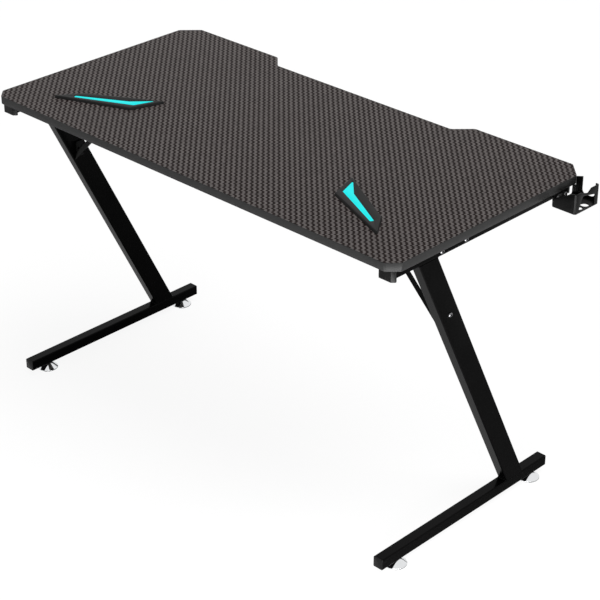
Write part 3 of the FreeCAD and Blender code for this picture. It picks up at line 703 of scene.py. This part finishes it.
def domed_head(radius, height, recess, recess_depth, low_edge):
    """Rings of a domed head on the plane z = 0, with a recess in its top."""
    rings = [ring(radius, 0.0), ring(radius, low_edge)]
    flat = 0.55
    for share in (0.25, 0.5, 0.75, 1.0):
        turn = share * math.pi / 2
        across = radius * (flat + (1 - flat) * math.cos(turn))
        rings.append(ring(across, low_edge + (height - low_edge) * math.sin(turn)))
    rings.append(ring(recess, height))
    rings.append(ring(recess, height - recess_depth))
    return rings


# Geometry Nodes trees

def new_tree(name, **kinds):
    """A maker for a Geometry Nodes tree, and the identifiers of the tree's named inputs."""
    tree = bpy.data.node_groups.new(name, "GeometryNodeTree")
    tree.interface.new_socket("Geometry", in_out="INPUT", socket_type="NodeSocketGeometry")
    keys = {}
    for label, kind in kinds.items():
        socket = tree.interface.new_socket(label, in_out="INPUT", socket_type="NodeSocket" + kind)
        keys[label] = socket.identifier
    tree.interface.new_socket("Geometry", in_out="OUTPUT", socket_type="NodeSocketGeometry")
    return NodeMaker(tree), keys


def tree_input(maker, label):
    """One of a tree's own inputs."""
    return maker.add("NodeGroupInput", output=label)


def finish_tree(maker, geometry):
    """End a tree with real geometry in the material of its Finish input."""
    real = maker.add("GeometryNodeRealizeInstances", {}, {"Geometry": geometry})
    sockets = {"Geometry": real, "Material": tree_input(maker, "Finish")}
    painted = maker.add("GeometryNodeSetMaterial", {}, sockets)
    result = maker.tree.nodes.new("NodeGroupOutput")
    maker.join(result.inputs["Geometry"], painted)


def seats_tree():
    """Stands one fastener on every point, turned to the point's facing direction."""
    maker, keys = new_tree("fasteners_on_seats", Fastener="Object", Finish="Material")
    facing = maker.add("GeometryNodeInputNamedAttribute", {"data_type": "FLOAT_VECTOR"},
                       {"Name": "facing"})
    turn = maker.add("FunctionNodeAlignRotationToVector", {"axis": "Z"}, {"Vector": facing})
    model = maker.add("GeometryNodeObjectInfo", {}, {"Object": tree_input(maker, "Fastener")},
                      "Geometry")
    sockets = {"Points": tree_input(maker, "Geometry"), "Instance": model, "Rotation": turn}
    finish_tree(maker, maker.add("GeometryNodeInstanceOnPoints", {}, sockets))
    return maker, keys


def weld_tree():
    """Lays overlapping ripples along every edge, as a weld bead."""
    maker, keys = new_tree("weld_ripples", Step="Float", Width="Float", Height="Float",
                           Finish="Material")
    step = tree_input(maker, "Step")
    path = maker.add("GeometryNodeMeshToCurve", {}, {"Mesh": tree_input(maker, "Geometry")})
    stops = maker.add("GeometryNodeResampleCurve", {"mode": "LENGTH"},
                      {"Curve": path, "Length": step})
    tangent = maker.add("GeometryNodeInputTangent")
    turn = maker.add("FunctionNodeAlignRotationToVector", {"axis": "X"}, {"Vector": tangent})
    ripple = maker.add("GeometryNodeMeshUVSphere", {}, {"Segments": 14, "Rings": 8, "Radius": 0.5},
                       "Mesh")
    smooth = maker.add("GeometryNodeSetShadeSmooth", {}, {"Geometry": ripple})
    size = maker.add("ShaderNodeCombineXYZ", {}, {"X": step * RIPPLE_OVERLAP,
                                                  "Y": tree_input(maker, "Width"),
                                                  "Z": tree_input(maker, "Height")})
    sockets = {"Points": stops, "Instance": smooth, "Rotation": turn, "Scale": size}
    finish_tree(maker, maker.add("GeometryNodeInstanceOnPoints", {}, sockets))
    return maker, keys


def grow(piece, maker, keys, values):
    """Run a tree on a piece with named inputs, and keep the result as its mesh."""
    modifier = piece.modifiers.new("grow", "NODES")
    modifier.node_group = maker.tree
    for label, value in values.items():
        modifier[keys[label]] = value
    settle(piece)
    bpy.data.node_groups.remove(maker.tree)


def plant(node, model, spots):
    """Replace a CAD node of fasteners by copies of a model on their seats."""
    mesh = bpy.data.meshes.new(node + "_set")
    mesh.from_pydata([place for place, facing in spots], [], [])
    attribute = mesh.attributes.new("facing", "FLOAT_VECTOR", "POINT")
    for point, (place, facing) in zip(attribute.data, spots):
        point.vector = facing
    piece = add_object(node + "_set", mesh)
    source = add_object(node + "_model", model)
    grow(piece, *seats_tree(), {"Fastener": source, "Finish": finish_for(SLOT_OF[node])})
    bpy.data.objects.remove(source)
    stand_for(piece, node)


# Fasteners

def bolt_model(radius, length, name):
    """Button-head bolt on the plane z = 0, its shank below it."""
    size = details()
    recess = hexagon(size.hex_key)
    tip = size.bolt_pitch
    rings = [ring(radius - 2 * size.thread_depth, -length)]
    rings += thread(radius, size.thread_depth, size.bolt_pitch, -length + tip / 2, -length / 2)
    rings += [ring(radius, -length / 2 + tip), ring(radius, 0.0)]
    rings += domed_head(radius * HEAD_PER_SHANK, size.bolt_head, recess,
                        recess_depth=size.bolt_head * 0.85, low_edge=size.bolt_head * 0.25)
    return crisp_mesh(loft(rings), name)


def nut_model(width, height, bore, name):
    """Hex nut on the plane z = 0, with its corners turned off."""
    outer = hexagon(width)
    land = width / 2 * 0.98
    lift = height * 0.1

    def turned(angle):
        return min(outer(angle), land)
    rings = [ring(bore, 0.0), ring(turned, 0.0), ring(outer, lift), ring(outer, height - lift),
             ring(turned, height), ring(bore * 1.08, height), ring(bore, height - lift)]
    return crisp_mesh(loft(rings, closed=True), name)


def cross_screw_model(head_radius, head_height, radius, length, name):
    """Pan-head screw with a cross recess, its shank below the plane z = 0."""
    recess = cross(reach=head_radius * 0.55, half_width=head_radius * 0.13)
    rings = [ring(radius * 0.2, -length), ring(radius, -length * 0.85), ring(radius, 0.0)]
    rings += domed_head(head_radius, head_height, recess,
                        recess_depth=head_height * 0.6, low_edge=head_height * 0.35)
    return crisp_mesh(loft(rings), name)


def outward(box):
    """Unit vector along X, away from the middle of the desktop."""
    low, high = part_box("desktop_board")
    return RIGHT if box[0].x + box[1].x > low.x + high.x else -RIGHT


def downward(box):
    """Unit vector down, for heads that sit under the desktop."""
    return -UP


def span(box, axis):
    """Size of a box along an axis."""
    return box[1][axis] - box[0][axis]


def shank(box, facing, head):
    """Length of a fastener below its head."""
    return abs((box[1] - box[0]).dot(facing)) - head


def seats(boxes, facing_of, head):
    """Where each fastener's head sits, and the way that it faces, from the boxes of their solids."""
    found = []
    for box in boxes:
        facing = facing_of(box)
        reach = abs((box[1] - box[0]).dot(facing)) / 2
        found.append(((box[0] + box[1]) / 2 + facing * (reach - head), facing))
    return found


def build_bolts():
    """The frame's button-head bolts."""
    head = details().bolt_head
    for node, across, facing_of in (("stretcher_bolts", Y, outward), ("brace_leg_bolts", Y, outward),
                                    ("brace_top_bolts", X, downward)):
        boxes = solid_boxes(node)
        length = shank(boxes[0], facing_of(boxes[0]), head)
        model = bolt_model(span(boxes[0], across) / 2 / HEAD_PER_SHANK, length, node + "_bolt")
        plant(node, model, seats(boxes, facing_of, head))


def build_nuts():
    """The nuts on the stretcher and the braces."""
    bore = span(solid_boxes("brace_top_bolts")[0], X) / 2 / HEAD_PER_SHANK + THREAD_GAP
    for node in ("stretcher_nuts", "brace_leg_nuts"):
        boxes = solid_boxes(node)
        width = min(span(boxes[0], Y), span(boxes[0], Z))
        model = nut_model(width, span(boxes[0], X), bore, node + "_nut")
        plant(node, model, [(place, -facing) for place, facing in seats(boxes, outward, 0.0)])
    dress("brace_rivet_nuts")


def build_screws():
    """The desktop's wood screws and the cup holder's screws."""
    size = details()
    for node, across, facing_of, head, slimness in (
            ("desktop_screws", X, downward, size.screw_head, WOOD_SHANK_PER_HEAD),
            ("cup_holder_screws", Y, outward, size.cup_screw_head, CUP_SHANK_PER_HEAD)):
        boxes = solid_boxes(node)
        radius = span(boxes[0], across) / 2
        length = shank(boxes[0], facing_of(boxes[0]), head)
        model = cross_screw_model(radius, head, radius * slimness, length, node + "_screw")
        plant(node, model, seats(boxes, facing_of, head))


# Pieces

def build_desktop():
    """The woven top, the board under it and the band round them."""
    dress("top_laminate", "desktop_board")
    round_edges("edge_band", details().band_edge)


def build_light_inserts():
    """Raised bezels with their lit lenses, and the trays and circuits inside."""
    for side in SIDES:
        round_edges("light_bezel_" + side, details().plastic_edge)
        round_edges("light_diffuser_" + side, details().band_edge)
        dress(*("light_" + piece + "_" + side for piece in ("tray", "circuit", "chips", "inlet")))
    dress("light_screws")


def weld_paths():
    """Where the front and rear faces of each leg meet the rails: pairs of points along X."""
    paths = []
    for side in SIDES:
        leg = NODES["leg_" + side].data
        low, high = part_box("leg_" + side)
        inset = details().weld_width / 2
        for level in (low.z, high.z):
            at_level = [vertex.co.y for vertex in leg.vertices
                        if abs(vertex.co.z - level) < MERGE_DISTANCE]
            for y in (min(at_level), max(at_level)):
                paths.append((Vector((low.x + inset, y, level)), Vector((high.x - inset, y, level))))
    return paths


def build_welds():
    """Weld beads across the ends of the legs."""
    points = [point for path in weld_paths() for point in path]
    mesh = bpy.data.meshes.new("weld_beads")
    mesh.from_pydata(points, [(index, index + 1) for index in range(0, len(points), 2)], [])
    piece = add_object("weld_beads", mesh)
    size = details()
    grow(piece, *weld_tree(), {"Step": size.weld_step, "Width": size.weld_width,
                               "Height": size.weld_height, "Finish": finish_for("black_powder_coat")})
    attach(piece, BODY_OF["leg_left"])


def build_side_frames():
    """Rails, slanting legs, end caps and welds."""
    for side in SIDES:
        dress("top_rail_" + side, "leg_" + side, "foot_rail_" + side)
        for end in ENDS:
            for rail in ("top_rail_cap_", "foot_rail_cap_"):
                round_edges(rail + end + "_" + side, details().plastic_edge)
    build_welds()


def build_stretcher():
    """The cross tube, its plates and the corner braces."""
    dress("stretcher")
    for side in SIDES:
        round_edges("stretcher_plate_" + side, details().plate_edge)
        round_edges("brace_" + side, details().plate_edge)


def axis_of(node):
    """Where the upright axis of a round CAD node meets the floor."""
    low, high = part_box(node)
    return Vector(((low.x + high.x) / 2, (low.y + high.y) / 2, 0))


def turned_piece(node, profile, name):
    """Replace a round CAD node by a turned piece of (radius, height) points about its own axis."""
    shape = loft([ring(radius, height, 2 * ROUND_STEPS) for radius, height in profile])
    bmesh.ops.translate(shape, verts=shape.verts, vec=axis_of(node))
    stand_for(add_object(name, crisp_mesh(shape, name)), node)


def arc(centre, radius, start, end, steps=6):
    """Points of an arc in a half section, by its angles in degrees."""
    points = []
    for step in range(steps + 1):
        angle = math.radians(start + (end - start) * step / steps)
        points.append((centre[0] + radius * math.cos(angle), centre[1] + radius * math.sin(angle)))
    return points


def cone_profile(node, pad_node):
    """Half section of a foot's chrome cone, from its hollow base to its neck."""
    low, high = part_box(node)
    pad_low, pad_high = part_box(pad_node)
    rim = (high.x - low.x) / 2 - CONE_LIP
    recess = (pad_high.x - pad_low.x) / 2 + PAD_GAP
    ceiling = pad_low.z + CONE_RECESS_HEIGHT
    profile = [(AXIS_RADIUS, ceiling), (recess, ceiling), (recess, low.z)]
    profile += arc((rim, low.z + CONE_LIP), CONE_LIP, -90, 0)
    profile += arc((rim, low.z + CONE_SHOULDER), CONE_LIP, 0, CONE_SHOULDER_TURN)
    profile += [(CONE_NECK + CONE_NECK_FLARE, high.z - CONE_NECK_DROP), (CONE_NECK, high.z)]
    return profile + [(AXIS_RADIUS, high.z)]


def pad_profile(node):
    """Half section of a foot's rubber pad, with grip grooves in its underside."""
    low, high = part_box(node)
    edge = (high.x - low.x) / 2
    foot, top = low.z, low.z + PAD_HEIGHT
    profile = [(AXIS_RADIUS, foot)]
    for count in range(1, PAD_GROOVES + 1):
        radius = edge * count / (PAD_GROOVES + 1)
        profile += [(radius - PAD_GROOVE, foot), (radius, foot + PAD_GROOVE),
                    (radius + PAD_GROOVE, foot)]
    profile += [(edge - PAD_GROOVE, foot), (edge, foot + PAD_GROOVE), (edge, top)]
    return profile + [(AXIS_RADIUS, top)]


def stud_rings(node):
    """Rings of a foot's threaded stud, from its seat to its chamfered tip."""
    low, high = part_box(node)
    radius = (high.x - low.x) / 2
    depth = details().thread_depth
    rings = [ring(radius - depth, low.z)]
    rings += thread(radius, depth, details().stud_pitch, low.z + STUD_LEAD_IN, high.z - STUD_CHAMFER)
    rings.append(ring(radius - 2 * depth, high.z))
    axis = axis_of(node)
    return [[point + axis for point in points] for points in rings]


def build_feet():
    """Chrome cones on rubber pads, and the threaded studs that carry them."""
    for foot in FEET:
        cone = "foot_cone_" + foot
        pad = "foot_pad_" + foot
        stud = "foot_stud_" + foot
        turned_piece(cone, cone_profile(cone, pad), cone + "_turned")
        turned_piece(pad, pad_profile(pad), pad + "_moulded")
        mesh = mesh_from(loft(stud_rings(stud)), stud + "_threaded")
        stand_for(add_object(stud + "_threaded", mesh), stud)
    dress("foot_nuts")


def build_cup_holder():
    """The basket at the right edge."""
    round_edges("cup_holder", details().plastic_edge)


# Stage

def white_rays(maker):
    """1 for rays that should see a white studio: from the camera, off gloss and through glass."""
    path = [maker.add("ShaderNodeLightPath", output=name)
            for name in ("Is Camera Ray", "Is Glossy Ray", "Is Transmission Ray")]
    return path[0].at_least(path[1]).at_least(path[2])


def build_world():
    """Even light from all around, and a white background."""
    world = bpy.data.worlds.new("studio")
    world.use_nodes = True
    bpy.context.scene.world = world
    maker = NodeMaker(world.node_tree)
    world.node_tree.nodes.clear()
    ambient = studio().ambient
    strength = ambient + (1 - ambient) * white_rays(maker)
    backdrop = maker.add("ShaderNodeBackground", {}, {"Color": (1, 1, 1, 1), "Strength": strength})
    surface = world.node_tree.nodes.new("ShaderNodeOutputWorld")
    maker.join(surface.inputs["Surface"], backdrop)


def add_sheet(name, corners, white_share, colour):
    """A flat sheet of the studio, clear from below: matt paint that is seen as white by a share."""
    mesh = bpy.data.meshes.new(name)
    mesh.from_pydata([Vector(corner) for corner in corners], [], [tuple(range(len(corners)))])
    sheet = add_object(name, mesh)
    paint = bpy.data.materials.new(name)
    paint.use_nodes = True
    maker = NodeMaker(paint.node_tree)
    paint.node_tree.nodes.clear()
    matt = maker.add("ShaderNodeBsdfDiffuse", {}, {"Color": (*colour, 1.0)})
    white = maker.add("ShaderNodeEmission", {}, {"Color": (1, 1, 1, 1), "Strength": 1.0})
    seen = white_rays(maker) * white_share
    mixed = maker.add("ShaderNodeMixShader", {}, {0: seen, 1: matt, 2: white})
    from_below = maker.add("ShaderNodeNewGeometry", output="Backfacing")
    clear = maker.add("ShaderNodeBsdfTransparent")
    one_sided = maker.add("ShaderNodeMixShader", {}, {0: from_below, 1: mixed, 2: clear})
    surface = paint.node_tree.nodes.new("ShaderNodeOutputMaterial")
    maker.join(surface.inputs["Surface"], one_sided)
    mesh.materials.append(paint)
    return sheet


def build_floor():
    """A wide pale floor that keeps the desk's shadow, and grey cards that only reflections show."""
    reach = FLOOR_REACH
    corners = [(-reach, -reach, 0), (reach, -reach, 0), (reach, reach, 0), (-reach, reach, 0)]
    add_sheet("studio_floor", corners, studio().floor_glow, studio().floor)
    for name, outline in FLAGS.items():
        card = add_sheet(name, [(x, y, FLAG_LIFT) for x, y in outline], 0.0, studio().flag)
        card.visible_camera = False
        card.visible_diffuse = False
        card.visible_shadow = False


def add_sun(name, strength, shines_from):
    """A soft distant light that shines from a direction, and that polished metal doesn't mirror."""
    lamp = bpy.data.lights.new(name, "SUN")
    lamp.energy = strength
    lamp.angle = SUN_SPREAD
    sun = add_object(name, lamp)
    sun.rotation_euler = Vector(shines_from).to_track_quat("Z", "Y").to_euler()
    sun.visible_glossy = False


def add_strip(name, brightness, place, along, towards, size):
    """A soft strip that is as bright as told, from its middle, its long side and where it faces."""
    lamp = bpy.data.lights.new(name, "AREA")
    lamp.shape = "RECTANGLE"
    lamp.size = size[0]
    lamp.size_y = size[1]
    lamp.energy = brightness * math.pi * size[0] * size[1]
    strip = add_object(name, lamp)
    back = -Vector(towards).normalized()
    side = (Vector(along) - Vector(along).dot(back) * back).normalized()
    turn = Matrix((side, back.cross(side), back)).transposed()
    strip.matrix_world = Matrix.Translation(Vector(place)) @ turn.to_4x4()


def build_camera():
    """The camera at the viewing angle of the reference."""
    view = studio()
    azimuth = math.radians(view.camera_azimuth)
    elevation = math.radians(view.camera_elevation)
    back = Vector((math.sin(azimuth) * math.cos(elevation), -math.cos(azimuth) * math.cos(elevation),
                   math.sin(elevation)))
    lens = bpy.data.cameras.new("camera")
    lens.sensor_width = SENSOR_WIDTH
    lens.lens = view.lens
    camera = add_object("camera", lens)
    camera.location = view.camera_place
    camera.rotation_euler = back.to_track_quat("Z", "Y").to_euler()
    bpy.context.scene.camera = camera


def build_stage():
    """Camera, lights, floor and background."""
    build_world()
    build_floor()
    add_sun("key_light", studio().key, shines_from=(0.35, 0.15, 1.0))
    add_sun("fill_light", studio().fill, shines_from=(0.25, -0.9, 0.3))
    add_strip("strip_light", studio().strip, place=(0.75, -0.72, 0.17), along=(1.22, 0.47, 0.0),
              towards=(-0.63, 0.61, 0.48), size=(1.5, 0.34))
    add_strip("panel_light", studio().panel, place=(1.17, -0.92, 0.19), along=(0.70, 0.71, 0.0),
              towards=(-0.68, 0.66, 0.55), size=(0.55, 0.3))
    build_camera()
    bpy.context.scene.view_settings.view_transform = "Standard"


# Add-on

class DESK_OT_stage(bpy.types.Operator):
    """Make the studio: camera, lights, floor and background"""
    bl_idname = "desk.stage"
    bl_label = "Studio"

    def execute(self, context):
        build_stage()
        return {"FINISHED"}


class DESK_OT_desktop(bpy.types.Operator):
    """Finish the woven top, the board and the edge band"""
    bl_idname = "desk.desktop"
    bl_label = "Desktop"

    def execute(self, context):
        build_desktop()
        return {"FINISHED"}


class DESK_OT_light_inserts(bpy.types.Operator):
    """Finish the two raised light inserts"""
    bl_idname = "desk.light_inserts"
    bl_label = "Light inserts"

    def execute(self, context):
        build_light_inserts()
        return {"FINISHED"}


class DESK_OT_side_frames(bpy.types.Operator):
    """Finish the rails, legs and end caps, and lay the welds"""
    bl_idname = "desk.side_frames"
    bl_label = "Side frames"

    def execute(self, context):
        build_side_frames()
        return {"FINISHED"}


class DESK_OT_stretcher(bpy.types.Operator):
    """Finish the stretcher, its plates and the braces"""
    bl_idname = "desk.stretcher"
    bl_label = "Stretcher"

    def execute(self, context):
        build_stretcher()
        return {"FINISHED"}


class DESK_OT_fasteners(bpy.types.Operator):
    """Stand bolts, nuts and screws on their seats"""
    bl_idname = "desk.fasteners"
    bl_label = "Fasteners"

    def execute(self, context):
        build_bolts()
        build_nuts()
        build_screws()
        return {"FINISHED"}


class DESK_OT_feet(bpy.types.Operator):
    """Turn the levelling feet and thread their studs"""
    bl_idname = "desk.feet"
    bl_label = "Levelling feet"

    def execute(self, context):
        build_feet()
        return {"FINISHED"}


class DESK_OT_cup_holder(bpy.types.Operator):
    """Finish the cup holder"""
    bl_idname = "desk.cup_holder"
    bl_label = "Cup holder"

    def execute(self, context):
        build_cup_holder()
        return {"FINISHED"}


OPERATORS = (DESK_OT_stage, DESK_OT_desktop, DESK_OT_light_inserts, DESK_OT_side_frames,
             DESK_OT_stretcher, DESK_OT_fasteners, DESK_OT_feet, DESK_OT_cup_holder)
SETTINGS = (("desk_finishes", DeskFinishes), ("desk_details", DeskDetails),
            ("desk_studio", DeskStudio))


class DESK_PT_dressing(bpy.types.Panel):
    """Lists the desk's settings and the steps that dress it"""
    bl_idname = "DESK_PT_dressing"
    bl_label = "Desk"
    bl_space_type = "VIEW_3D"
    bl_region_type = "UI"
    bl_category = "Desk"

    def draw(self, context):
        for operator in OPERATORS:
            self.layout.operator(operator.bl_idname)
        for name, group in SETTINGS:
            box = self.layout.box()
            for setting in group.__annotations__:
                box.prop(getattr(context.scene, name), setting)


def register():
    for name, group in SETTINGS:
        bpy.utils.register_class(group)
        setattr(bpy.types.Scene, name, bpy.props.PointerProperty(type=group))
    for operator in OPERATORS:
        bpy.utils.register_class(operator)
    bpy.utils.register_class(DESK_PT_dressing)


def unregister():
    bpy.utils.unregister_class(DESK_PT_dressing)
    for operator in reversed(OPERATORS):
        bpy.utils.unregister_class(operator)
    for name, group in reversed(SETTINGS):
        delattr(bpy.types.Scene, name)
        bpy.utils.unregister_class(group)


def main():
    """Dress the desk."""
    register()
    bpy.ops.desk.stage()
    bpy.ops.desk.desktop()
    bpy.ops.desk.light_inserts()
    bpy.ops.desk.side_frames()
    bpy.ops.desk.stretcher()
    bpy.ops.desk.fasteners()
    bpy.ops.desk.feet()
    bpy.ops.desk.cup_holder()


if __name__ == "__main__":
    main()
